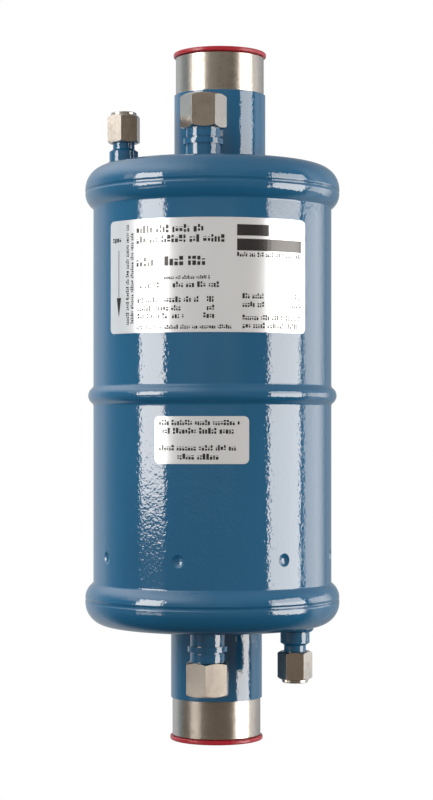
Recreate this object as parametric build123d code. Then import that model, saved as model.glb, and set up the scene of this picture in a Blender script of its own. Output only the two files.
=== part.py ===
from build123d import *

import math
import os

# A discharge-line muffler for a refrigeration plant: a steel can with a swaged shell, two dished
# end plates, a socket for the pipe at each end, and two small service connections beside each
# socket. Millimetres, with the can's axis along Z, its middle at the origin and its front at -Y.

# Shell
shell_diameter = 114.3
shell_wall = 2.3
seam_height = 97.3  # from the middle of the can to each weld seam
bell_rise = 3.85  # the shell is opened out by this at both seams
bell_round = 8.5
bell_foot = 1.5
bell_land = 0.6  # straight stretch at the seam
bead_rise = 2.5  # the bead rolled round the middle
bead_crest = 4.5
bead_foot = 2.0
dimple_diameter = 6.2
dimple_depth = 1.1
dimple_lift = 21.4  # above the lower seam
dimple_bearings = (-102.0, -58.8, -15.8, 35.3, 79.0, 124.0, 169.0, 214.0)  # struck by hand
seam_bevel = 0.5
seam_fill = 0.3
weld_hollow = 0.42  # a fillet weld's face lies at this share of its leg, where 0.5 is flat

# End plates
cap_wall = 2.5
cap_knuckle = 11.0
cap_straight = 1.5

# Pipe sockets
tube_offset = 17.0  # behind the can's axis
tube_reach = 55.5  # from the end plate to the mouth
socket_bore = 35.1
socket_depth = 25.0
socket_wall = 3.95
socket_stop = 1.55  # the ledge that the pipe stands on
bare_length = 18.6  # turned bright and left unpainted
bare_step = 0.75
mouth_bevel = 0.6
spigot_wall = 3.0
spigot_reach = 62.0  # from the end plate into the can
tube_weld_leg = 3.0
pore_diameter = 5.0
pore_rings = 4
pore_pairs = 3  # each pair is drilled straight through both walls
pore_last = 7.0  # from the spigot's inner end
pore_pitch = 8.0

# Transport plugs
plug_overhang = 1.1  # from the socket's bare wall to the flange's edge
plug_flange = 2.05
plug_depth = 14.0
plug_wall = 1.4
plug_floor = 1.6
plug_taper = 0.35
plug_round = 0.6

# Flare unions, one in front of each socket
union_clearance = 14.75  # from the socket's wall to the union's axis
union_stem = 16.2
union_stem_length = 8.2
union_ring_step = 1.25
union_ring_width = 2.5
union_relief_depth = 0.5
union_relief_width = 1.0
union_thread = 15.875
union_spigot = 12.0
union_bore = 7.1
union_weld_leg = 2.0
union_neck_gap = 0.3  # from the plain neck to the nut
flare_tip = 9.3
flare_nut_flats = 19.05
flare_nut_length = 16.1
flare_nut_gap = 4.9  # from the ring to the nut
flare_nut_bore = 9.8
flare_nut_bevel = 0.4
flare_engagement = 11.4  # from the nut's lower face to the union's tip
bonnet_wall = 0.9
bonnet_clearance = 0.64

# Service valves, near the edge of each end plate
valve_setback = 18.4  # from the can's edge to the valve's axis
valve_bearing = -73.0  # from the union, round the can's axis
valve_collar = 13.8
valve_collar_height = 6.9
valve_shoulder = 1.2
valve_neck_length = 3.5
valve_neck_cut = 0.36
valve_thread = 11.11
valve_thread_length = 9.9
valve_tip = 6.0
valve_spigot = 8.0
valve_bore = 5.2
valve_inlet = 3.6
valve_inlet_height = 7.0
valve_weld_leg = 2.0
valve_core_length = 9.0
valve_pin = 1.3
valve_pin_gap = 1.0
valve_cap_flats = 14.3
valve_cap_lap = 0.7  # the cap's rim hangs below the thread
valve_cap_length = 13.3
valve_cap_boss = 12.3
valve_cap_boss_height = 1.5
valve_cap_bevel = 0.4
cap_seal_thickness = 1.2
cap_seal_clearance = 0.1

# Inside the can
baffle_wall = 1.5
baffle_round = 3.0
middle_baffle_lip = 8.5  # from the bead's middle to the flange's rim, and to the plate
transfer_tube_diameter = 30.0
transfer_tube_wall = 1.5
transfer_tube_offset = 25.0
transfer_tube_above = 20.0
transfer_tube_below = 34.0
transfer_mouth_flare = 3.0
lower_flange = 7.0
lower_vent_diameter = 12.0
lower_vent_setback = 13.85  # from the can's inner wall
lower_vent_bearings = (-40.0, 0.0, 40.0)

# Labels on the shell's front
label_film = 0.2
label_corner = 2.4
rating_label_bearings = (-55.3, 48.4)
rating_label_drop = 17.1  # from the upper seam
rating_label_height = 52.1
small_label_bearings = (-27.2, 17.0)
small_label_drop = 10.0  # from the bead's middle
small_label_height = 21.7

# How the fittings and nuts of each end stand, seen from outside that end
upper_twist = -12.2
lower_twist = 6.6
upper_flare_nut_turn = 30.7
lower_flare_nut_turn = 4.7
upper_valve_cap_turn = -7.0
lower_valve_cap_turn = 31.9

shell_radius = shell_diameter / 2
shell_inside = shell_radius - shell_wall
bell_radius = shell_radius + bell_rise
dimple_height = dimple_lift - seam_height
cap_depth = cap_straight + cap_knuckle
end_height = seam_height + cap_depth

socket_radius = socket_bore / 2
bare_radius = socket_radius + socket_wall
tube_radius = bare_radius + bare_step
spigot_bore_radius = socket_radius - socket_stop
spigot_radius = spigot_bore_radius + spigot_wall

union_offset = tube_radius - tube_offset + union_clearance
union_ring_top = union_stem_length + union_ring_width
flare_nut_start = union_ring_top + flare_nut_gap
flare_tip_height = flare_nut_start + flare_engagement
bonnet_rise = bonnet_wall * math.sqrt(2)

valve_offset = bell_radius - valve_setback
valve_neck_height = valve_collar_height + valve_shoulder
valve_thread_start = valve_neck_height + valve_neck_length
valve_tip_height = valve_thread_start + valve_thread_length
valve_cap_start = valve_thread_start - valve_cap_lap

# An end is drawn with its plate's outer face at height 0 and the way out of the can upwards.
top_end = Pos(0, 0, end_height)
bottom_end = Rot(0, 180, 0) * Pos(0, 0, end_height)


def turned(*edges):
    """Revolve a closed outline, drawn as radius and height, about the upright axis."""
    return revolve(Plane.XZ * make_face(Curve() + [*edges]), Axis.Z)


def turned_points(*points):
    """Revolve a closed outline of straight lines."""
    return turned(Polyline(*points, close=True))


def spot(reach, bearing):
    """A place at a distance from the axis, with its bearing from the front towards +X."""
    turn = math.radians(bearing)
    return Pos(reach * math.sin(turn), -reach * math.cos(turn), 0)


def hexagon_bar(flats, low, high, turn, bevel):
    """Hexagon bar with its ends turned to 30 degrees, one corner at the given bearing."""
    half = flats / 2
    corner = half / math.cos(math.radians(30))
    fall = (corner - half + bevel) * math.tan(math.radians(30))
    bar = extrude(RegularPolygon(half, 6, major_radius=False), high - low)
    blank = turned_points(
        (0, low),
        (half - bevel, low),
        (corner, low + fall),
        (corner, high - fall),
        (half - bevel, high),
        (0, high),
    )
    return (Rot(0, 0, turn - 90) * Pos(0, 0, low) * bar) & blank


# Shell: one tube, swaged out into a bell at each seam and into a bead round the middle.


def swage(low, high, crest, foot, height, side, inset):
    """The two arcs of a wall that comes down from a crest to the plain tube, above it or below.

    The crest's arc is centred at the height given. An inset gives the wall's inner face.
    """
    across = low + foot - (high - crest)
    along = math.sqrt((crest + foot) ** 2 - across**2)
    lean = side * math.degrees(math.atan2(along, across))
    crest_arc = CenterArc((high - crest, height), crest - inset, 0, lean)
    foot_arc = CenterArc((low + foot, height + side * along), foot + inset, 180 + lean, -lean)
    return crest_arc, foot_arc


def bell(side, inset):
    """One end's bell, from the seam inwards."""
    crest_height = side * (seam_height - bell_land)
    return swage(shell_radius, bell_radius, bell_round, bell_foot, crest_height, -side, inset)


def bead(side, inset):
    """Half of the middle bead, from its crest outwards."""
    crest_radius = shell_radius + bead_rise
    return swage(shell_radius, crest_radius, bead_crest, bead_foot, 0, side, inset)


def shell_face(inset, bevel):
    """The shell's outer face, or its inner face at the wall's inset, from lip to lip."""
    lip = bell_radius - inset
    upper_bell, upper_foot = bell(1, inset)
    upper_crest, upper_bead_foot = bead(1, inset)
    lower_crest, lower_bead_foot = bead(-1, inset)
    lower_bell, lower_foot = bell(-1, inset)
    return [
        Line((lip, seam_height - bevel), upper_bell @ 0),
        upper_bell,
        upper_foot,
        Line(upper_foot @ 1, upper_bead_foot @ 1),
        upper_bead_foot,
        upper_crest,
        lower_crest,
        lower_bead_foot,
        Line(lower_bead_foot @ 1, lower_foot @ 1),
        lower_foot,
        lower_bell,
        Line(lower_bell @ 0, (lip, bevel - seam_height)),
    ]


dimple_punch = ((dimple_diameter / 2) ** 2 + dimple_depth**2) / (2 * dimple_depth)


def dimple_ball(bearing, inset):
    """The punch's round nose in one dimple, or at the wall's inset the bump inside the can."""
    place = spot(shell_radius - dimple_depth + dimple_punch, bearing)
    return Pos(0, 0, dimple_height) * place * Sphere(dimple_punch + inset)


def bevelled_lip(height, wall, inwards):
    """The end of a wall at a seam, bevelled on the outside to take the weld."""
    return Polyline(
        (bell_radius - wall, height),
        (bell_radius - seam_bevel, height),
        (bell_radius, height + inwards * seam_bevel),
    ).edges()


def shell():
    upper_lip = bevelled_lip(seam_height, shell_wall, -1)
    lower_lip = bevelled_lip(-seam_height, shell_wall, 1)
    body = turned(
        *shell_face(0, seam_bevel), *shell_face(shell_wall, 0), *upper_lip, *lower_lip
    )
    within = Pos(0, 0, dimple_height) * Cylinder(shell_radius - shell_wall / 2, 4 * dimple_diameter)
    for bearing in dimple_bearings:
        body = body + (dimple_ball(bearing, shell_wall) & within)
    for bearing in dimple_bearings:
        body = body - dimple_ball(bearing, 0)
    return body


# End plates and their seams


def cap_face(inset, bevel):
    """The dished plate's outer face, or its inner face at the wall's inset."""
    turn = bell_radius - cap_knuckle
    edge = bell_radius - inset
    return [
        Line((0, -inset), (turn, -inset)),
        CenterArc((turn, -cap_knuckle), cap_knuckle - inset, 0, 90),
        Line((edge, -cap_knuckle), (edge, bevel - cap_depth)),
    ]


def cap_blank():
    """The end plate filled in behind, to cut away what is laid on it."""
    back = Polyline((bell_radius, -cap_depth), (0, -cap_depth), (0, 0))
    return turned(*cap_face(0, 0), *back.edges())


def end_cap(twist):
    lip = bevelled_lip(-cap_depth, cap_wall, 1)
    middle = Line((0, -cap_wall), (0, 0))
    plate = turned(*cap_face(0, seam_bevel), *cap_face(cap_wall, 0), *lip, middle)
    plate = plate - tube_spot(twist) * Cylinder(spigot_radius, 3 * cap_wall)
    plate = plate - union_spot(twist) * Cylinder(union_spigot / 2, 3 * cap_wall)
    return plate - valve_spot(twist) * Cylinder(valve_spigot / 2, 3 * cap_wall)


def seam_weld():
    """The weld run in the groove between the shell's lip and the end plate."""
    root = bell_radius - seam_bevel
    face = root + seam_fill
    return turned_points(
        (root, -cap_depth),
        (face, -cap_depth - seam_fill),
        (face, -cap_depth + seam_fill),
    )


def tube_spot(twist):
    return spot(tube_offset, twist + 180)


def union_spot(twist):
    return spot(union_offset, twist)


def valve_spot(twist):
    return spot(valve_offset, twist + valve_bearing)


def fillet_weld(stem, leg, place):
    """A slightly hollow weld bead in the corner between a stem and the end plate."""
    hollow = weld_hollow * leg
    sink = leg / 2
    bead_ring = turned(
        ThreePointArc((stem, leg), (stem + hollow, hollow), (stem + leg, 0)),
        *Polyline((stem + leg, 0), (stem + leg, -sink), (stem, -sink), (stem, leg)).edges(),
    )
    return place * bead_ring - cap_blank()


# Pipe sockets and their plugs


def connection_tube():
    """Turned socket: shouldered on the end plate, stepped down to a drilled tube inside."""
    paint_line = tube_reach - bare_length
    stop = tube_reach - socket_depth
    tube = turned_points(
        (spigot_bore_radius, -spigot_reach),
        (spigot_radius, -spigot_reach),
        (spigot_radius, 0),
        (tube_radius, 0),
        (tube_radius, paint_line),
        (bare_radius, paint_line),
        (bare_radius, tube_reach - mouth_bevel),
        (bare_radius - mouth_bevel, tube_reach),
        (socket_radius + mouth_bevel, tube_reach),
        (socket_radius, tube_reach - mouth_bevel),
        (socket_radius, stop),
        (spigot_bore_radius, stop),
    )
    drill = Rot(0, 90, 0) * Cylinder(pore_diameter / 2, 4 * spigot_radius)
    for ring in range(pore_rings):
        height = pore_last + ring * pore_pitch - spigot_reach
        for pair in range(pore_pairs):
            bearing = (pair + ring % 2 / 2) * 180 / pore_pairs
            tube = tube - Pos(0, 0, height) * Rot(0, 0, bearing) * drill
    return tube


def transport_plug():
    """Moulded push-in plug with a flange: a shallow cup, open to the outside."""
    flange = bare_radius + plug_overhang
    fit = socket_radius
    floor = tube_reach - plug_depth
    top = tube_reach + plug_flange
    entry = tube_reach - mouth_bevel
    nose = fit - plug_taper
    mouth = fit - plug_wall
    return turned(
        *Polyline(
            (0, floor),
            (nose - plug_round, floor),
            (nose, floor + plug_round),
            (fit, floor + plug_depth / 2),
            (fit, entry),
            (fit, tube_reach),
            (flange - plug_round, tube_reach),
        ).edges(),
        CenterArc((flange - plug_round, tube_reach + plug_round), plug_round, -90, 90),
        Line((flange, tube_reach + plug_round), (flange, top - plug_round)),
        CenterArc((flange - plug_round, top - plug_round), plug_round, 0, 90),
        Line((flange - plug_round, top), (mouth + plug_round, top)),
        CenterArc((mouth + plug_round, top - plug_round), plug_round, 90, 90),
        *Polyline(
            (mouth, top - plug_round),
            (mouth - plug_taper, floor + plug_floor + plug_round),
            (mouth - plug_taper - plug_round, floor + plug_floor),
            (0, floor + plug_floor),
            (0, floor),
        ).edges(),
    )


# Flare unions


def flare_union():
    """Turned union: spigot, stem, stop ring, thread and a 45 degree flare seat."""
    stem = union_stem / 2
    ring = stem + union_ring_step
    relief = stem - union_relief_depth
    relief_top = union_ring_top + union_relief_width
    neck_top = flare_nut_start - union_neck_gap
    thread = union_thread / 2
    tip = flare_tip / 2
    return turned_points(
        (union_bore / 2, -cap_wall),
        (union_spigot / 2, -cap_wall),
        (union_spigot / 2, 0),
        (stem, 0),
        (stem, union_stem_length),
        (ring, union_stem_length),
        (ring, union_ring_top),
        (relief, union_ring_top),
        (relief, relief_top),
        (stem, relief_top),
        (stem, neck_top),
        (thread, neck_top),
        (thread, flare_tip_height - (thread - tip)),
        (tip, flare_tip_height),
        (union_bore / 2, flare_tip_height),
    )


def flare_nut(turn):
    """Short flare nut: its cone presses the copper bonnet onto the union's seat."""
    low = flare_nut_start
    high = low + flare_nut_length
    thread = union_thread / 2
    hole = flare_nut_bore / 2
    cone = flare_tip_height + flare_tip / 2 + bonnet_rise
    bore = turned_points(
        (0, low - 1),
        (thread, low - 1),
        (thread, cone - thread),
        (hole, cone - hole),
        (hole, high + 1),
        (0, high + 1),
    )
    return hexagon_bar(flare_nut_flats, low, high, turn, flare_nut_bevel) - bore


def sealing_bonnet():
    """Pressed copper bonnet: a cone with a closed crown that blanks the union."""
    rim = union_thread / 2 - bonnet_clearance
    tip = flare_tip / 2
    crown = flare_tip_height + bonnet_wall
    seat = flare_tip_height + tip
    return turned_points(
        (0, flare_tip_height),
        (tip, flare_tip_height),
        (rim, seat - rim),
        (rim, seat - rim + bonnet_rise),
        (seat + bonnet_rise - crown, crown),
        (0, crown),
    )


# Service valves


def valve_body():
    """Turned valve stem: a round base, a neck, and a threaded nose with a flare seat."""
    thread = valve_thread / 2
    neck = thread - valve_neck_cut
    tip = valve_tip / 2
    return turned_points(
        (valve_inlet / 2, -cap_wall),
        (valve_spigot / 2, -cap_wall),
        (valve_spigot / 2, 0),
        (valve_collar / 2, 0),
        (valve_collar / 2, valve_collar_height),
        (neck, valve_neck_height),
        (neck, valve_thread_start),
        (thread, valve_thread_start + valve_neck_cut),
        (thread, valve_tip_height - (thread - tip)),
        (tip, valve_tip_height),
        (valve_bore / 2, valve_tip_height),
        (valve_bore / 2, valve_inlet_height),
        (valve_inlet / 2, valve_inlet_height),
    )


def valve_core():
    """The sprung check core screwed down the valve's bore, with its pin standing up."""
    bore = valve_bore / 2
    pin = valve_pin / 2
    top = valve_inlet_height + valve_core_length
    return turned_points(
        (0, valve_inlet_height),
        (bore, valve_inlet_height),
        (bore, top),
        (pin, top),
        (pin, valve_tip_height - valve_pin_gap),
        (0, valve_tip_height - valve_pin_gap),
    )


def valve_cap(turn):
    """Closed hexagon cap with a turned boss on its end."""
    high = valve_cap_start + valve_cap_length
    thread = valve_thread / 2
    boss = valve_cap_boss / 2
    boss_top = high + valve_cap_boss_height
    roof = valve_tip_height + cap_seal_thickness
    outside = hexagon_bar(valve_cap_flats, valve_cap_start, high, turn, valve_cap_bevel)
    outside = outside + turned_points(
        (0, roof),
        (boss, roof),
        (boss, boss_top - valve_cap_bevel),
        (boss - valve_cap_bevel, boss_top),
        (0, boss_top),
    )
    return outside - turned_points(
        (0, valve_cap_start - 1),
        (thread, valve_cap_start - 1),
        (thread, roof),
        (0, roof),
    )


def cap_seal():
    """Rubber ring between the valve's nose and the roof of its cap."""
    inside = valve_bore / 2
    outside = valve_thread / 2 - cap_seal_clearance
    top = valve_tip_height + cap_seal_thickness
    return turned_points(
        (inside, valve_tip_height),
        (outside, valve_tip_height),
        (outside, top),
        (inside, top),
    )


# Inside the can


def middle_baffle():
    """Pressed cup whose flange is swaged out with the shell, so that the bead holds it."""
    upper_crest, upper_foot = bead(1, shell_wall)
    lower_crest, lower_foot = bead(-1, shell_wall)
    inner_upper_crest, inner_upper_foot = bead(1, shell_wall + baffle_wall)
    inner_lower_crest, inner_lower_foot = bead(-1, shell_wall + baffle_wall)
    outside = shell_inside
    inside = outside - baffle_wall
    plate = -middle_baffle_lip
    corner = outside - baffle_round
    cup = turned(
        Line((0, plate - baffle_wall), (corner, plate - baffle_wall)),
        CenterArc((corner, plate - baffle_wall + baffle_round), baffle_round, -90, 90),
        Line((outside, plate - baffle_wall + baffle_round), lower_foot @ 1),
        lower_foot,
        lower_crest,
        upper_crest,
        upper_foot,
        Line(upper_foot @ 1, (outside, middle_baffle_lip)),
        Line((outside, middle_baffle_lip), (inside, middle_baffle_lip)),
        Line((inside, middle_baffle_lip), inner_upper_foot @ 1),
        inner_upper_foot,
        inner_upper_crest,
        inner_lower_crest,
        inner_lower_foot,
        Line(inner_lower_foot @ 1, (inside, plate - baffle_wall + baffle_round)),
        CenterArc(
            (corner, plate - baffle_wall + baffle_round), baffle_round - baffle_wall, -90, 90
        ),
        Line((corner, plate), (0, plate)),
        Line((0, plate), (0, plate - baffle_wall)),
    )
    hole = Cylinder(transfer_tube_diameter / 2, 6 * baffle_wall)
    return cup - Pos(0, -transfer_tube_offset, plate) * hole


def transfer_tube():
    """Open tube through the middle baffle, with a flared mouth where the gas goes in."""
    outside = transfer_tube_diameter / 2
    inside = outside - transfer_tube_wall
    flare = transfer_mouth_flare
    top = transfer_tube_above
    bottom = -transfer_tube_below
    tube = turned(
        Line((inside, bottom), (outside, bottom)),
        Line((outside, bottom), (outside, top - flare)),
        CenterArc((outside + flare, top - flare), flare, 180, -90),
        Line((outside + flare, top), (outside + flare, top + transfer_tube_wall)),
        CenterArc((outside + flare, top - flare), flare + transfer_tube_wall, 90, 90),
        Line((inside, top - flare), (inside, bottom)),
    )
    return Pos(0, -transfer_tube_offset, 0) * tube


def lower_baffle(twist):
    """Pressed cup stopped by the dimples, which steadies the drilled tube of the lower end."""
    bump_round = dimple_punch + shell_wall
    bump = math.sqrt(bump_round**2 - (bump_round - dimple_depth) ** 2)
    rim = bump - dimple_height - end_height
    outside = shell_inside
    inside = outside - baffle_wall
    plate = rim + lower_flange
    corner = outside - baffle_round
    cup = turned(
        Line((0, plate), (corner, plate)),
        CenterArc((corner, plate - baffle_round), baffle_round, 0, 90),
        Line((outside, plate - baffle_round), (outside, rim)),
        Line((outside, rim), (inside, rim)),
        Line((inside, rim), (inside, plate - baffle_round)),
        CenterArc((corner, plate - baffle_round), baffle_round - baffle_wall, 0, 90),
        Line((corner, plate - baffle_wall), (0, plate - baffle_wall)),
        Line((0, plate - baffle_wall), (0, plate)),
    )
    level = Pos(0, 0, plate)
    cup = cup - level * tube_spot(twist) * Cylinder(spigot_radius, 6 * baffle_wall)
    vent_circle = shell_inside - lower_vent_setback
    for bearing in lower_vent_bearings:
        vent = Cylinder(lower_vent_diameter / 2, 6 * baffle_wall)
        cup = cup - level * spot(vent_circle, twist + bearing) * vent
    return cup


# Labels


def label(bearings, high, height):
    """A film label wrapped on the shell's front, with rounded corners."""
    low = high - height
    first, last = bearings
    strip = Polyline(
        (shell_radius, low),
        (shell_radius + label_film, low),
        (shell_radius + label_film, high),
        (shell_radius, high),
        close=True,
    )
    wrapped = revolve(Plane.XZ * make_face(strip), Axis.Z, last - first)
    wrapped = Rot(0, 0, first - 90) * wrapped
    corners = wrapped.edges().filter_by(GeomType.LINE).filter_by(
        lambda edge: edge.length < 2 * label_film
    )
    return fillet(corners, label_corner)


parts = {}
parts["shell"] = shell()
parts["rating_label"] = label(
    rating_label_bearings, seam_height - rating_label_drop, rating_label_height
)
parts["small_label"] = label(small_label_bearings, -small_label_drop, small_label_height)
parts["middle_baffle"] = middle_baffle()
parts["transfer_tube"] = transfer_tube()
parts["lower_baffle"] = bottom_end * lower_baffle(lower_twist)

ends = (
    ("upper", "inlet", top_end, upper_twist, upper_flare_nut_turn, upper_valve_cap_turn),
    ("lower", "outlet", bottom_end, lower_twist, lower_flare_nut_turn, lower_valve_cap_turn),
)
for side, pipe, place, twist, flare_nut_turn, valve_cap_turn in ends:
    tube_place = place * tube_spot(twist)
    union_place = place * union_spot(twist)
    valve_place = place * valve_spot(twist)
    parts[side + "_end_cap"] = place * end_cap(twist)
    parts[side + "_seam_weld"] = place * seam_weld()
    parts[pipe + "_tube"] = tube_place * connection_tube()
    parts[pipe + "_tube_weld"] = place * fillet_weld(tube_radius, tube_weld_leg, tube_spot(twist))
    parts[pipe + "_plug"] = tube_place * transport_plug()
    parts[side + "_flare_union"] = union_place * flare_union()
    parts[side + "_union_weld"] = place * fillet_weld(
        union_stem / 2, union_weld_leg, union_spot(twist)
    )
    parts[side + "_flare_nut"] = union_place * flare_nut(flare_nut_turn)
    parts[side + "_sealing_bonnet"] = union_place * sealing_bonnet()
    parts[side + "_valve_body"] = valve_place * valve_body()
    parts[side + "_valve_weld"] = place * fillet_weld(
        valve_collar / 2, valve_weld_leg, valve_spot(twist)
    )
    parts[side + "_valve_core"] = valve_place * valve_core()
    parts[side + "_valve_cap"] = valve_place * valve_cap(valve_cap_turn)
    parts[side + "_cap_seal"] = valve_place * cap_seal()

os.makedirs("parts", exist_ok=True)
for node, shape in parts.items():
    export_step(shape, "parts/" + node + ".step")
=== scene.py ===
import math
import random

import bmesh
import bpy
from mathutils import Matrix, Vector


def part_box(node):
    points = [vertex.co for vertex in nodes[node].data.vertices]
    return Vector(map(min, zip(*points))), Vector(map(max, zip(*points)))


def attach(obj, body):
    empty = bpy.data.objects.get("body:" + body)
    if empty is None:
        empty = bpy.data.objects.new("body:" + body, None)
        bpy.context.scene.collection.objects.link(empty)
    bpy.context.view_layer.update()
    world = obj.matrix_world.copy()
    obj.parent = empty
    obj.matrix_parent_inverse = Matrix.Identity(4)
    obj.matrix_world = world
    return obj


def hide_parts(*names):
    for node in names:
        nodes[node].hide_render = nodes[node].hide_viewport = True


# A discharge-line muffler for a refrigeration plant, in blue gloss enamel. It hangs in its pipework,
# so here it hangs free in a pale studio, upright, with its labels to the front (-Y). Metres.

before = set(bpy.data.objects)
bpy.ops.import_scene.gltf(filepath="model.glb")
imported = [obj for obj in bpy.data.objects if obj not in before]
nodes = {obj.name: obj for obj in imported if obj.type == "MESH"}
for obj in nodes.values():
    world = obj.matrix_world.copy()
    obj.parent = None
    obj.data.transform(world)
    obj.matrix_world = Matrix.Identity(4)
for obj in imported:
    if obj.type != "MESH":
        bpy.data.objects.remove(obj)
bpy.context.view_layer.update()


# Camera.
# A long lens a metre off, level, a little below the middle of the can. The horizon lies under the
# middle of the picture, so the frame is shifted up and the camera isn't tilted.

PIXELS_HIGH = 800
PIXELS_WIDE = 433
SENSOR_MM = 36.0
CAMERA_DISTANCE = 0.962  # from the can's axis
PIXEL_AT_AXIS = 0.000481  # metres on the can's axis for one pixel
AXIS_COLUMN = 212.4  # pixels
HORIZON_ROW = 424.0  # pixels
MIDDLE_OVER_HORIZON = 28.2  # pixels
NEAREST = 0.05
FARTHEST = 30.0

camera_data = bpy.data.cameras.new("camera")
camera_data.sensor_width = SENSOR_MM
camera_data.lens = SENSOR_MM * CAMERA_DISTANCE / PIXEL_AT_AXIS / PIXELS_HIGH
camera_data.shift_y = (HORIZON_ROW - PIXELS_HIGH / 2) / PIXELS_HIGH
camera_data.clip_start = NEAREST
camera_data.clip_end = FARTHEST
camera = bpy.data.objects.new("camera", camera_data)
bpy.context.scene.collection.objects.link(camera)
camera.location = (
    (PIXELS_WIDE / 2 - AXIS_COLUMN) * PIXEL_AT_AXIS,
    -CAMERA_DISTANCE,
    -MIDDLE_OVER_HORIZON * PIXEL_AT_AXIS,
)
camera.rotation_euler = (math.radians(90), 0, 0)
bpy.context.scene.camera = camera
bpy.context.scene.view_settings.view_transform = "Standard"


# Room.
# The photographer's room, by bearing from the front towards +X: dim and warm behind the camera, dark
# just behind the soft boxes, pale behind the can, and light high on the left. The camera sees its
# backdrop as plain white.


class Socket:
    """A shader socket that takes part in sums: each operator adds its Math node."""

    def __init__(self, tree, link):
        self.tree = tree
        self.link = link

    def node(self, kind, settings=None, values=None, out=0):
        """Add a node, with its settings first, then the values or links of its sockets."""
        made = self.tree.nodes.new(kind)
        for name, value in (settings or {}).items():
            if name == "stops":
                fill_ramp(made.color_ramp, value)
            else:
                setattr(made, name, value)
        for name, value in (values or {}).items():
            if isinstance(value, Socket):
                self.tree.links.new(value.link, made.inputs[name])
            else:
                made.inputs[name].default_value = value
        return Socket(self.tree, made.outputs[out])

    def math(self, operation, *values):
        return self.node("ShaderNodeMath", {"operation": operation}, dict(enumerate(values)))

    def __add__(self, other):
        return self.math("ADD", self, other)

    def __radd__(self, other):
        return self.math("ADD", other, self)

    def __sub__(self, other):
        return self.math("SUBTRACT", self, other)

    def __rsub__(self, other):
        return self.math("SUBTRACT", other, self)

    def __mul__(self, other):
        return self.math("MULTIPLY", self, other)

    def __rmul__(self, other):
        return self.math("MULTIPLY", other, self)

    def __truediv__(self, other):
        return self.math("DIVIDE", self, other)

    def step(self, low, high):
        """0 below low, 1 above high, and a smooth rise between."""
        return self.node(
            "ShaderNodeMapRange",
            {"interpolation_type": "SMOOTHSTEP"},
            {"Value": self, "From Min": low, "From Max": high},
        )


def fill_ramp(ramp, stops):
    while len(ramp.elements) < len(stops):
        ramp.elements.new(0.5)
    for element, (position, colour) in zip(ramp.elements, stops):
        element.position = position
        element.color = (*colour, 1.0)


def split(place):
    """The X, Y and Z of a place, as three sockets."""
    return [place.node("ShaderNodeSeparateXYZ", None, {0: place}, out) for out in range(3)]


def mix_colour(mask, first, second):
    """The first colour where the mask is 0 and the second where it is 1."""
    values = {0: mask}
    for index, colour in ((6, first), (7, second)):
        values[index] = colour if isinstance(colour, Socket) else (*colour, 1.0)
    return mask.node("ShaderNodeMix", {"data_type": "RGBA"}, values, 2)


WHITE = (1.0, 1.0, 1.0)
CEILING = (0.36, 0.36, 0.36)
HIGH_LEFT = (2.1, 2.1, 2.1)
CEILING_RISE = (0.2, 0.8)  # from the walls to the ceiling
LEFT_RISE = (-0.1, 0.9)  # from the ceiling to its light side
WALLS = (
    (-180, (0.40, 0.42, 0.44)),
    (-152, (0.62, 0.66, 0.70)),
    (-130, (0.74, 0.78, 0.82)),
    (-116, (0.40, 0.47, 0.50)),
    (-104, (0.24, 0.29, 0.31)),
    (-92, (0.19, 0.23, 0.24)),
    (-35, (0.24, 0.22, 0.19)),
    (-12, (0.31, 0.27, 0.23)),
    (4, (0.25, 0.22, 0.18)),
    (14, (0.31, 0.27, 0.23)),
    (34, (0.16, 0.13, 0.10)),
    (52, (0.16, 0.13, 0.10)),
    (93, (0.10, 0.10, 0.11)),
    (96, (0.10, 0.10, 0.11)),
    (100, (0.85, 0.86, 0.87)),
    (113, (0.84, 0.86, 0.88)),
    (121, (0.58, 0.60, 0.62)),
    (140, (0.52, 0.55, 0.58)),
    (156, (0.36, 0.38, 0.40)),
    (180, (0.40, 0.42, 0.44)),
)
WALL_STOPS = [((bearing + 180) / 360, colour) for bearing, colour in WALLS]


def wall_colour(x, y):
    """The wall's colour on the bearing of X and Y, from the front towards +X."""
    turn = x.math("ARCTAN2", x, 0.0 - y) / math.tau + 0.5
    return turn.node("ShaderNodeValToRGB", {"stops": WALL_STOPS}, {0: turn})


world = bpy.data.worlds.new("room")
world.use_nodes = True
bpy.context.scene.world = world
room = world.node_tree
room.nodes.clear()
start = Socket(room, None)
way_x, way_y, way_z = split(start.node("ShaderNodeTexCoord", out=0))
walls = wall_colour(way_x, way_y)
ceiling = mix_colour((0.0 - way_x).step(*LEFT_RISE), CEILING, HIGH_LEFT)
surround = mix_colour(way_z.step(*CEILING_RISE), walls, ceiling)
seen = start.node("ShaderNodeLightPath", out=0)
shown = mix_colour(seen, surround, WHITE)
background = start.node("ShaderNodeBackground", None, {"Color": shown, "Strength": 1.0})
output = room.nodes.new("ShaderNodeOutputWorld")
room.links.new(background.link, output.inputs["Surface"])


# Soft boxes and floor.
# Two tall soft boxes stand left and right, a high card beside the left one, and a low white board far
# right. The floor is pale paper that keeps the can's shadow. The can mirrors it dim in front, and
# behind it runs into the pale walls.


def new_material(name):
    """An empty material, with the shader's tree and its coordinates on the object."""
    material = bpy.data.materials.new(name)
    material.use_nodes = True
    tree = material.node_tree
    tree.nodes.clear()
    start = Socket(tree, None)
    place = start.node("ShaderNodeTexCoord", out=3)
    return material, start, place


def end_material(material, start, shader):
    output = start.tree.nodes.new("ShaderNodeOutputMaterial")
    start.tree.links.new(shader.link, output.inputs["Surface"])
    return material


def deselect():
    bpy.ops.object.select_all(action="DESELECT")


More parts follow.
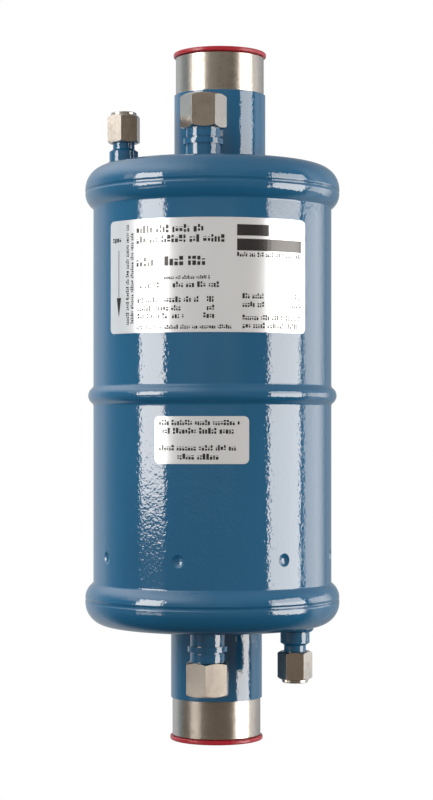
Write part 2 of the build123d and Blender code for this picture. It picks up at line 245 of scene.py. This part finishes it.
BOARD_REACH = 1.0  # from the can's axis
BOARD_COLOUR = (1.0, 0.94, 0.88)
BOX_FOOT = -0.45
BOX_TOP = 0.50
LEFT_GLOW = 7.0
LEFT_EDGE = (-0.11, -0.07)
LOW_GLOW = 1.9
LOW_EDGE = (-0.32, -0.295)
LEFT_HAZE = 0.3
RIGHT_GLOW = 6.3
RIGHT_LOSS = 2.1
RIGHT_FADE = (0.08, 0.24)
PALE_GLOW = 0.42
PALE_GAIN = 2.5
PALE_FADE = (0.70, 0.92)
SIDE_FOOT = 0.235
SIDE_GLOW = 1.35
SIDE_EDGE = (0.235, 0.27)


def light_board(name, bearing, width, low, high, glow):
    """An upright lit board that faces the can. Its strength comes from each point's X and Z."""
    deselect()
    turn = math.radians(bearing)
    bpy.ops.mesh.primitive_plane_add(size=1.0)
    board = bpy.context.object
    board.name = name
    board.scale = (width, high - low, 1.0)
    board.rotation_euler = (math.radians(90), 0, turn)
    board.location = (BOARD_REACH * math.sin(turn), -BOARD_REACH * math.cos(turn), (low + high) / 2)
    bpy.ops.object.transform_apply(location=True, rotation=True, scale=True)
    material, start, place = new_material(name)
    place_x, _, place_z = split(place)
    values = {"Color": (*BOARD_COLOUR, 1.0), "Strength": glow(place_x, place_z)}
    light = start.node("ShaderNodeEmission", None, values)
    board.data.materials.append(end_material(material, start, light))
    board.visible_camera = False
    board.visible_shadow = False


def left_glow(x, z):
    """Bright down to its lower edge, with a weak reflector low down."""
    return LEFT_GLOW * z.step(*LEFT_EDGE) + LOW_GLOW * (1.0 - z.step(*LOW_EDGE)) + LEFT_HAZE


def right_glow(x, z):
    """A little weaker at the top."""
    return RIGHT_GLOW - RIGHT_LOSS * z.step(*RIGHT_FADE)


def pale_glow(x, z):
    """Fades towards the back."""
    return PALE_GLOW + PALE_GAIN * x.step(*PALE_FADE)


def side_glow(x, z):
    """Weak, with a soft lower edge."""
    return SIDE_GLOW * z.step(*SIDE_EDGE)


light_board("left_soft_box", -57.9, 0.463, BOX_FOOT, BOX_TOP, left_glow)
light_board("left_side_board", -79.0, 0.20, SIDE_FOOT, BOX_TOP, side_glow)
light_board("right_soft_box", 72.1, 0.669, BOX_FOOT, BOX_TOP, right_glow)
light_board("right_board", 118.0, 0.80, -0.20, 0.215, pale_glow)

FLOOR_HEIGHT = -0.42
FLOOR_SIZE = 24.0
PAPER = (0.92, 0.92, 0.92)
FLOOR_UNDER = (0.05, 0.045, 0.04)
FLOOR_IN_FRONT = (0.19, 0.15, 0.12)
FLOOR_LEFT = (0.60, 0.60, 0.60)
BACKDROP_FROM = (0.25, 0.8)  # here and below, metres from the can's axis
FRONT_FROM = (0.3, 1.4)
LEFT_FROM = (0.1, 0.6)
WALLS_FROM = (0.05, 0.35)

bpy.ops.mesh.primitive_plane_add(size=FLOOR_SIZE, location=(0, 0, FLOOR_HEIGHT))
floor = bpy.context.object
floor.name = "floor"
bpy.ops.object.transform_apply(location=True, rotation=True, scale=True)
material, start, place = new_material("floor")
floor_x, floor_y, _ = split(place)
far = floor_x.math("SQRT", floor_x * floor_x + floor_y * floor_y)
camera_ray = start.node("ShaderNodeLightPath", out=0)
glossy_ray = start.node("ShaderNodeLightPath", out=3)
clear_ray = start.node("ShaderNodeLightPath", out=6)
from_below = start.node("ShaderNodeNewGeometry", out=6)
paper = start.node("ShaderNodeBsdfDiffuse", None, {"Color": (*PAPER, 1.0)})
backdrop = start.node("ShaderNodeEmission", None, {"Color": (*WHITE, 1.0), "Strength": 1.0})
for_camera = start.node("ShaderNodeMixShader", None, {0: far.step(*BACKDROP_FROM), 1: paper, 2: backdrop})
mirrors = glossy_ray + clear_ray
front = mix_colour(far.step(*FRONT_FROM), FLOOR_UNDER, FLOOR_IN_FRONT)
lit = mix_colour((0.0 - floor_x).step(*LEFT_FROM) * (1.0 - mirrors), front, FLOOR_LEFT)
mirrored = mix_colour(floor_y.step(*WALLS_FROM) * mirrors, lit, wall_colour(floor_x, floor_y))
for_others = start.node("ShaderNodeEmission", None, {"Color": mirrored, "Strength": 1.0})
on_top = start.node("ShaderNodeMixShader", None, {0: camera_ray, 1: for_others, 2: for_camera})
clear = start.node("ShaderNodeBsdfTransparent")
floor_shader = start.node("ShaderNodeMixShader", None, {0: from_below, 1: on_top, 2: clear})
floor.data.materials.append(end_material(material, start, floor_shader))


# Shell, end plates and seam welds.
# A steel tube swaged out at both ends, two pressed plates and a weld round each seam. The whole can
# is sprayed after welding with one coat of gloss enamel, which dries with an orange-peel skin.

BLUE = (0.010, 0.111, 0.238)
BLUE_THICK = (0.009, 0.100, 0.216)
ENAMEL_IOR = 1.8
ENAMEL_ROUGHNESS = 0.05
PEEL_CELLS = 820.0  # to a metre
PEEL_DEPTH = 0.00006
SEAM_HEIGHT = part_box("shell")[1][2]
SEAM_FLAT = 0.00025  # half of the weld's crown
SEAM_EDGE = 0.0013
SEAM_DIP = 0.00034


def noise(place, scale, detail=2.0, roughness=0.5, stretch=(1, 1, 1)):
    """Soft random shade from 0 to 1, of the given number of cells to a metre."""
    mapped = place.node("ShaderNodeMapping", None, {"Vector": place, "Scale": stretch})
    values = {"Vector": mapped, "Scale": scale, "Detail": detail, "Roughness": roughness}
    return place.node("ShaderNodeTexNoise", None, values)


def principled(start, values):
    """The main shader. Colours are given as three numbers."""
    full = {}
    for name, value in values.items():
        full[name] = (*value, 1.0) if isinstance(value, tuple) else value
    return start.node("ShaderNodeBsdfPrincipled", None, full)


def bump(height, distance):
    return height.node("ShaderNodeBump", None, {"Height": height, "Distance": distance})


def orange_peel(place):
    """The height of the dried skin: small cells on longer, lower waves."""
    return noise(place, PEEL_CELLS, 1.0) + noise(place, PEEL_CELLS / 3, 1.0)


def enamel_colour(place):
    return mix_colour(noise(place, 14.0, 3.0).step(0.35, 0.65), BLUE, BLUE_THICK)


def finish(names, material):
    """Give a material to CAD pieces, by name."""
    for name in names:
        piece = nodes[name]
        piece.data.materials.clear()
        piece.data.materials.append(material)


def enamel(name, relief):
    """Blue enamel on a surface whose relief, in metres, comes from its place."""
    material, start, place = new_material(name)
    shader = principled(start, {
        "Base Color": enamel_colour(place),
        "Roughness": ENAMEL_ROUGHNESS,
        "IOR": ENAMEL_IOR,
        "Normal": bump(orange_peel(place) * PEEL_DEPTH + relief(place), 1.0),
    })
    return end_material(material, start, shader)


def seam_relief(place):
    """The shallow trough, with the weld's crown in it, where the two rims turn in to the seam."""
    place_z = split(place)[2]
    off_seam = place_z.math("ABSOLUTE", place_z.math("ABSOLUTE", place_z) - SEAM_HEIGHT)
    return off_seam.step(SEAM_FLAT, SEAM_EDGE) * SEAM_DIP


def no_relief(place):
    return 0.0


can_enamel = enamel("can_enamel", seam_relief)
blue_enamel = enamel("blue_enamel", no_relief)
finish(("shell", "upper_end_cap", "lower_end_cap"), can_enamel)
finish(("upper_seam_weld", "lower_seam_weld"), can_enamel)


# Pipe sockets.
# Turned steel sockets welded to the end plates. The outside is sprayed with the can up to a masked
# line, and beyond it the steel is left bright from the lathe, ready for brazing.

PAINT_LINE = 0.14665  # from the can's middle
PAINT_EDGE = 0.00012
PAINTED_RADIUS = 0.0219
LINE_BLUR = 0.00002
RADIUS_BLUR = 0.00005
STEEL = (0.53, 0.50, 0.46)
STEEL_STAIN = (0.46, 0.42, 0.37)
STEEL_SPECK = (0.30, 0.25, 0.20)
TURNING_CELLS = 5000.0
TURNING_DEPTH = 0.000006
STEEL_ROUGHNESS = 0.22


def socket_material(name):
    """Enamel outside up to the masked line, and turned steel beyond it and inside."""
    low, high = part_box(name)
    middle_x = (low[0] + high[0]) / 2
    middle_y = (low[1] + high[1]) / 2
    material, start, place = new_material(name)
    place_x, place_y, place_z = split(place)
    across_x = place_x - middle_x
    across_y = place_y - middle_y
    radius = across_x.math("SQRT", across_x * across_x + across_y * across_y)
    height = place_z.math("ABSOLUTE", place_z)
    ragged = (noise(place, 900.0, 2.0) - 0.5) * PAINT_EDGE
    below_line = 1.0 - (height + ragged).step(PAINT_LINE - LINE_BLUR, PAINT_LINE + LINE_BLUR)
    painted = below_line * radius.step(PAINTED_RADIUS - RADIUS_BLUR, PAINTED_RADIUS + RADIUS_BLUR)
    stain = noise(place, 60.0, 4.0, 0.6).step(0.4, 0.8)
    specks = 0.7 * noise(place, 1000.0, 2.0).step(0.60, 0.72)
    steel_colour = mix_colour(specks, mix_colour(stain, STEEL, STEEL_STAIN), STEEL_SPECK)
    rings = noise(place, TURNING_CELLS, 3.0, 0.6, (0.02, 0.02, 1.0))
    rough_steel = STEEL_ROUGHNESS + 0.08 * noise(place, 220.0, 3.0)
    relief = painted * orange_peel(place) * PEEL_DEPTH + (1.0 - painted) * rings * TURNING_DEPTH
    shader = principled(start, {
        "Base Color": mix_colour(painted, steel_colour, enamel_colour(place)),
        "Metallic": 1.0 - painted,
        "Roughness": painted * ENAMEL_ROUGHNESS + (1.0 - painted) * rough_steel,
        "IOR": ENAMEL_IOR,
        "Normal": bump(relief, 1.0),
    })
    return end_material(material, start, shader)


for name in ("inlet_tube", "outlet_tube"):
    finish((name,), socket_material(name))


# Fillet welds round the stems.
# One pass of weld round each socket, union and valve, laid as a row of overlapping puddles that
# freeze into ripples, and sprayed over with the can.

RIPPLE_PITCH = 0.0017
RIPPLE_STEPS = 4
RIPPLE_RISE = 0.00022
RIPPLE_WANDER = 0.18  # of the pitch, three times round the stem
RIPPLE_LEAN = 60.0  # ripples to a metre of the bead's width
BEAD_SEGMENTS = 16
BEAD_SHARE = 0.86  # of the weld's leg
END_HEIGHT = max(abs(height) for height in (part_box("upper_end_cap")[1][2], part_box("lower_end_cap")[0][2]))


def weld_bead(name, node, stem):
    """A rippled ring in the corner of a stem and its end plate, in place of the plain one."""
    low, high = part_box(node)
    middle_x = (low[0] + high[0]) / 2
    middle_y = (low[1] + high[1]) / 2
    leg = (high[0] - low[0]) / 2 - stem
    side = 1 if high[2] > 0 else -1
    ripples = round(math.tau * (stem + leg / 2) / RIPPLE_PITCH)
    deselect()
    bpy.ops.mesh.primitive_torus_add(
        major_radius=stem,
        minor_radius=leg * BEAD_SHARE,
        major_segments=ripples * RIPPLE_STEPS,
        minor_segments=BEAD_SEGMENTS,
    )
    bead = bpy.context.object
    bead.name = name
    for point in bead.data.vertices:
        bearing = math.atan2(point.co.y, point.co.x)
        reach = math.hypot(point.co.x, point.co.y)
        over = point.co.z
        along = bearing * ripples / math.tau + RIPPLE_WANDER * math.sin(3 * bearing)
        along += RIPPLE_LEAN * (reach - stem)
        phase = along % 1.0
        ripple = 1.0 + RIPPLE_RISE / (leg * BEAD_SHARE) * (phase**2 * 1.6 - 0.5)
        reach = stem + (reach - stem) * ripple
        point.co.x = middle_x + reach * math.cos(bearing)
        point.co.y = middle_y + reach * math.sin(bearing)
        point.co.z = side * END_HEIGHT + over * ripple
    bpy.ops.object.shade_smooth()
    bead.data.materials.append(blue_enamel)
    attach(bead, "root")
    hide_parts(node)


STEMS = {"tube": 0.02225, "union": 0.0081, "valve": 0.0069}
WELDS = (
    ("inlet_tube_bead", "inlet_tube_weld", "tube"),
    ("outlet_tube_bead", "outlet_tube_weld", "tube"),
    ("upper_union_bead", "upper_union_weld", "union"),
    ("lower_union_bead", "lower_union_weld", "union"),
    ("upper_valve_bead", "upper_valve_weld", "valve"),
    ("lower_valve_bead", "lower_valve_weld", "valve"),
)
for name, node, stem in WELDS:
    weld_bead(name, node, STEMS[stem])


# Transport plugs.
# Soft red plastic plugs pushed into the sockets to keep dirt and damp out until the pipes are
# brazed in. Moulded, glossy, a little rubbed round the flange.

RED = (0.40, 0.018, 0.032)
RED_RUBBED = (0.37, 0.027, 0.040)

material, start, place = new_material("red_plastic")
rubbed = noise(place, 170.0, 4.0, 0.6).step(0.45, 0.75)
flow = noise(place, 400.0, 2.0)
plastic = principled(start, {
    "Base Color": mix_colour(rubbed, RED, RED_RUBBED),
    "Roughness": 0.26 + 0.10 * rubbed,
    "Normal": bump(flow, 0.00002),
})
finish(("inlet_plug", "outlet_plug"), end_material(material, start, plastic))


# Flare unions, their bonnets and their nuts.
# Turned steel unions welded into the end plates and sprayed with the can. Each is blanked by a
# pressed copper bonnet under a hexagon nut, which is screwed on after spraying and stays bright.

COPPER = (0.80, 0.38, 0.22)
COPPER_DULL = (0.55, 0.24, 0.14)
NICKEL = (0.66, 0.62, 0.57)
NICKEL_STAIN = (0.58, 0.53, 0.48)
NUT_EDGE = 0.00028
EDGE_STEPS = 3
WELD_DISTANCE = 0.000002
FLAT_DEGREES = 0.5
SHARP_DEGREES = 24
SMOOTH_DEGREES = 32

finish(("upper_flare_union", "lower_flare_union"), blue_enamel)

material, start, place = new_material("copper")
dull = noise(place, 350.0, 4.0, 0.6).step(0.4, 0.7)
copper = principled(start, {
    "Base Color": mix_colour(dull, COPPER, COPPER_DULL),
    "Metallic": 1.0,
    "Roughness": 0.28 + 0.2 * dull,
    "Normal": bump(noise(place, 1500.0, 2.0), 0.00001),
})
finish(("upper_sealing_bonnet", "lower_sealing_bonnet"), end_material(material, start, copper))

material, start, place = new_material("nickel_plate")
stain = noise(place, 180.0, 5.0, 0.6).step(0.48, 0.72)
drawn = noise(place, 5000.0, 3.0, 0.6, (1.0, 1.0, 0.04))
pitted = noise(place, 1600.0, 2.0, 0.5)
nickel = principled(start, {
    "Base Color": mix_colour(stain, NICKEL, NICKEL_STAIN),
    "Metallic": 1.0,
    "Roughness": 0.15 + 0.06 * noise(place, 420.0, 3.0),
    "Normal": bump(drawn * 0.000004 + pitted * 0.000008, 1.0),
})
nickel_plate = end_material(material, start, nickel)


def broken_edges(name, node, width):
    """A copy of a CAD piece with its sharp edges broken, to stand in that piece's place."""
    deselect()
    piece = bpy.data.objects.new(name, nodes[node].data.copy())
    bpy.context.scene.collection.objects.link(piece)
    bpy.context.view_layer.objects.active = piece
    piece.select_set(True)
    bpy.ops.object.mode_set(mode="EDIT")
    bpy.ops.mesh.select_all(action="SELECT")
    bpy.ops.mesh.customdata_custom_splitnormals_clear()
    bpy.ops.mesh.remove_doubles(threshold=WELD_DISTANCE)
    bpy.ops.mesh.dissolve_limited(angle_limit=math.radians(FLAT_DEGREES))
    bpy.ops.object.mode_set(mode="OBJECT")
    edges = piece.modifiers.new("edges", "BEVEL")
    edges.width = width
    edges.segments = EDGE_STEPS
    edges.limit_method = "ANGLE"
    edges.angle_limit = math.radians(SHARP_DEGREES)
    bpy.ops.object.modifier_apply(modifier=edges.name)
    bpy.ops.object.shade_smooth_by_angle(angle=math.radians(SMOOTH_DEGREES))
    flats = piece.modifiers.new("flats", "WEIGHTED_NORMAL")
    flats.keep_sharp = True
    bpy.ops.object.modifier_apply(modifier=flats.name)
    piece.data.materials.clear()
    piece.data.materials.append(nickel_plate)
    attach(piece, "root")
    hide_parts(node)


for side in ("upper", "lower"):
    broken_edges(side + "_large_nut", side + "_flare_nut", NUT_EDGE)


# Service valves.
# Small turned valve stems with a sprung brass core, sprayed with the can. The closed hexagon cap
# is nickel plated like the nuts, and seals on a rubber ring.

BRASS = (0.78, 0.60, 0.28)
RUBBER = (0.02, 0.02, 0.021)
RUBBER_BLOOM = (0.035, 0.035, 0.036)

finish(("upper_valve_body", "lower_valve_body"), blue_enamel)

material, start, place = new_material("core_brass")
brass = principled(start, {
    "Base Color": mix_colour(noise(place, 600.0, 3.0), BRASS, COPPER_DULL),
    "Metallic": 1.0,
    "Roughness": 0.3,
    "Normal": bump(noise(place, 3000.0, 2.0), 0.000006),
})
finish(("upper_valve_core", "lower_valve_core"), end_material(material, start, brass))

material, start, place = new_material("seal_rubber")
rubber = principled(start, {
    "Base Color": mix_colour(noise(place, 900.0, 2.0), RUBBER, RUBBER_BLOOM),
    "Roughness": 0.65,
    "Normal": bump(noise(place, 2500.0, 2.0), 0.00001),
})
finish(("upper_cap_seal", "lower_cap_seal"), end_material(material, start, rubber))

for side in ("upper", "lower"):
    broken_edges(side + "_small_cap", side + "_valve_cap", NUT_EDGE)


# Baffles and transfer tube.
# Pressed and drawn steel inside the can, shut in before spraying, so they stay bare and carry only
# a film of drawing oil.

MILL_STEEL = (0.50, 0.49, 0.47)
MILL_STEEL_DARK = (0.36, 0.35, 0.34)

material, start, place = new_material("bare_steel")
scale_marks = noise(place, 90.0, 4.0, 0.6)
mill_steel = principled(start, {
    "Base Color": mix_colour(scale_marks.step(0.4, 0.7), MILL_STEEL, MILL_STEEL_DARK),
    "Metallic": 1.0,
    "Roughness": 0.35 + 0.15 * scale_marks,
    "Normal": bump(noise(place, 1200.0, 3.0), 0.00002),
})
finish(("middle_baffle", "lower_baffle", "transfer_tube"), end_material(material, start, mill_steel))


# Labels.
# Two silver film labels stuck on the shell after spraying. The film is metallised under a clear
# face, and follows the shell with faint waves.

FILM = (0.83, 0.87, 0.92)
FILM_DULL = (0.80, 0.84, 0.89)

material, start, place = new_material("label_film")
clouded = noise(place, 45.0, 3.0)
film = principled(start, {
    "Base Color": mix_colour(clouded, FILM, FILM_DULL),
    "Metallic": 0.40,
    "Roughness": 0.23 + 0.05 * noise(place, 1500.0, 2.0),
    "Normal": bump(noise(place, 110.0, 2.0), 0.00006),
    "Coat Weight": 0.4,
    "Coat Roughness": 0.08,
})
finish(("rating_label", "small_label"), end_material(material, start, film))


# Print on the labels.
# Black ink under the film's clear face. Every word is greeked as a row of small blocks, and each
# name or mark as a plain bar. One arrow shows the flow.

INK = (0.014, 0.014, 0.016)
INK_THIN = (0.03, 0.03, 0.033)
INK_RISE = 0.00003
INK_SUNK = 0.00006
WRAP_STEP = 0.002
LABEL_RADIUS = -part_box("rating_label")[0][1]
MM = 0.001

material, start, place = new_material("ink")
printed = principled(start, {
    "Base Color": mix_colour(noise(place, 4000.0, 2.0), INK, INK_THIN),
    "Roughness": 0.2,
    "IOR": 1.7,
})
ink = end_material(material, start, printed)


def block(left, right, low, high):
    """One block of ink on the flat sheet, in millimetres."""
    bpy.ops.mesh.primitive_cube_add(
        size=MM,
        location=((left + right) / 2 * MM, 0, (low + high) / 2 * MM),
        scale=(right - left, (INK_RISE + INK_SUNK) / MM, high - low),
    )


# Shares of a row's height.
LETTER_WIDTHS = (0.26, 0.46)
LETTER_FEET = (0.0, 0.0, 0.0, 0.12)
LETTER_HEADS = (1.0, 0.72, 0.72)
LETTER_SLITS = (0.0, 0.34, 0.42, 0.5)
SLIT_HEIGHT = 0.16
LETTER_GAP = 0.15
WORD_GAP = 0.4
LAST_LETTER = 0.2


def words(draw, left, right, low, high, upright=True):
    """A run of words from left to right, or up the sheet, as small blocks of unequal size."""
    tall = high - low if upright else right - left
    spot = left if upright else low
    end = right if upright else high
    letters = draw.randint(3, 7)
    while spot < end - LAST_LETTER * tall:
        wide = min(tall * draw.uniform(*LETTER_WIDTHS), end - spot)
        foot = tall * draw.choice(LETTER_FEET)
        head = tall * draw.choice(LETTER_HEADS)
        slit = tall * draw.choice(LETTER_SLITS)
        levels = ((foot, slit), (slit + SLIT_HEIGHT * tall, head)) if slit else ((foot, head),)
        for bottom, top in levels:
            if upright:
                block(spot, spot + wide, low + bottom, low + top)
            else:
                block(right - top, right - bottom, spot, spot + wide)
        letters -= 1
        spot += wide + tall * LETTER_GAP
        if letters == 0:
            spot += tall * WORD_GAP
            letters = draw.randint(3, 8)


def begin_sheet(name):
    deselect()
    mesh = bpy.data.meshes.new(name)
    sheet = bpy.data.objects.new(name, mesh)
    bpy.context.scene.collection.objects.link(sheet)
    bpy.context.view_layer.objects.active = sheet
    sheet.select_set(True)
    bpy.ops.object.mode_set(mode="EDIT")
    return sheet


def wrap_sheet(sheet, reach):
    """Cut the long blocks across, and wrap the flat sheet round the shell."""
    for index in range(-round(reach / WRAP_STEP), round(reach / WRAP_STEP) + 1):
        bpy.ops.mesh.select_all(action="SELECT")
        bpy.ops.mesh.bisect(plane_co=(index * WRAP_STEP, 0, 0), plane_no=(1, 0, 0))
    bpy.ops.object.mode_set(mode="OBJECT")
    for point in sheet.data.vertices:
        bearing = point.co.x / LABEL_RADIUS
        radius = LABEL_RADIUS + (INK_RISE if point.co.y < 0 else -INK_SUNK)
        point.co.x = radius * math.sin(bearing)
        point.co.y = -radius * math.cos(bearing)
    sheet.data.materials.append(ink)
    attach(sheet, "root")


RATING_WORDS = (
    (-37.2, -2.8, 73.5, 77.0),
    (-37.2, 6.1, 68.9, 72.3),
    (-37.2, -27.3, 58.4, 62.6),
    (-22.3, -2.4, 58.4, 62.6),
    (-22.4, -1.0, 52.2, 53.8),
    (-35.2, -24.4, 48.4, 51.0),
    (-18.2, 3.6, 48.4, 51.0),
    (-36.6, -24.7, 41.7, 44.3),
    (-22.4, -5.5, 41.7, 44.3),
    (-2.4, 1.4, 41.7, 44.3),
    (-36.6, -20.5, 37.9, 40.4),
    (-19.0, -12.7, 37.9, 40.4),
    (-2.4, 1.4, 37.9, 40.4),
    (-36.6, -20.5, 34.4, 36.9),
    (-18.5, -13.1, 34.4, 36.9),
    (-4.0, 1.4, 34.4, 36.9),
    (-37.2, 8.7, 29.6, 31.5),
    (11.4, 45.6, 62.3, 64.4),
    (13.9, 24.0, 43.4, 45.8),
    (41.3, 45.5, 43.4, 45.8),
    (13.9, 25.2, 39.5, 42.0),
    (38.2, 45.5, 39.5, 42.0),
    (13.9, 45.2, 33.6, 36.0),
    (13.9, 45.2, 29.9, 32.4),
    (-53.2, -46.4, 70.0, 73.0),
)
RATING_BARS = ((11.4, 26.8, 71.9, 77.0), (11.4, 45.6, 65.1, 70.5))
UPWARD_WORDS = ((-43.9, -42.0, 32.0, 78.0), (-40.9, -39.1, 32.5, 74.0))
SMALL_WORDS = (
    (-25.0, 12.6, -14.1, -11.7),
    (-23.3, 10.6, -18.0, -15.3),
    (-25.0, 11.4, -25.6, -23.1),
    (-16.0, 2.9, -29.7, -27.0),
)
ARROW_PLACE = -48.8
ARROW_SHAFT = (44.5, 66.5)
ARROW_WIDTH = 0.4
ARROW_HEAD = (36.0, 44.6)
ARROW_HEAD_WIDTH = 3.2
ARROW_TIP = 0.06  # the tip's width as a share of the head's
RATING_REACH = 0.056  # half of each sheet's length, in metres
SMALL_REACH = 0.028

draw = random.Random(7)
sheet = begin_sheet("rating_label_print")
for row in RATING_WORDS:
    words(draw, *row)
for row in UPWARD_WORDS:
    words(draw, *row, upright=False)
for row in RATING_BARS:
    block(*row)
block(ARROW_PLACE - ARROW_WIDTH / 2, ARROW_PLACE + ARROW_WIDTH / 2, *ARROW_SHAFT)
block(ARROW_PLACE - ARROW_HEAD_WIDTH / 2, ARROW_PLACE + ARROW_HEAD_WIDTH / 2, *ARROW_HEAD)
head = bmesh.from_edit_mesh(sheet.data)
for point in head.verts:
    point.select_set(point.select and point.co.z < ARROW_HEAD[1] * MM - 0.001)
head.select_flush(False)
bpy.ops.transform.resize(value=(ARROW_TIP, 1, 1), center_override=(ARROW_PLACE * MM, 0, 0))
wrap_sheet(sheet, RATING_REACH)

sheet = begin_sheet("small_label_print")
for row in SMALL_WORDS:
    words(draw, *row)
wrap_sheet(sheet, SMALL_REACH)
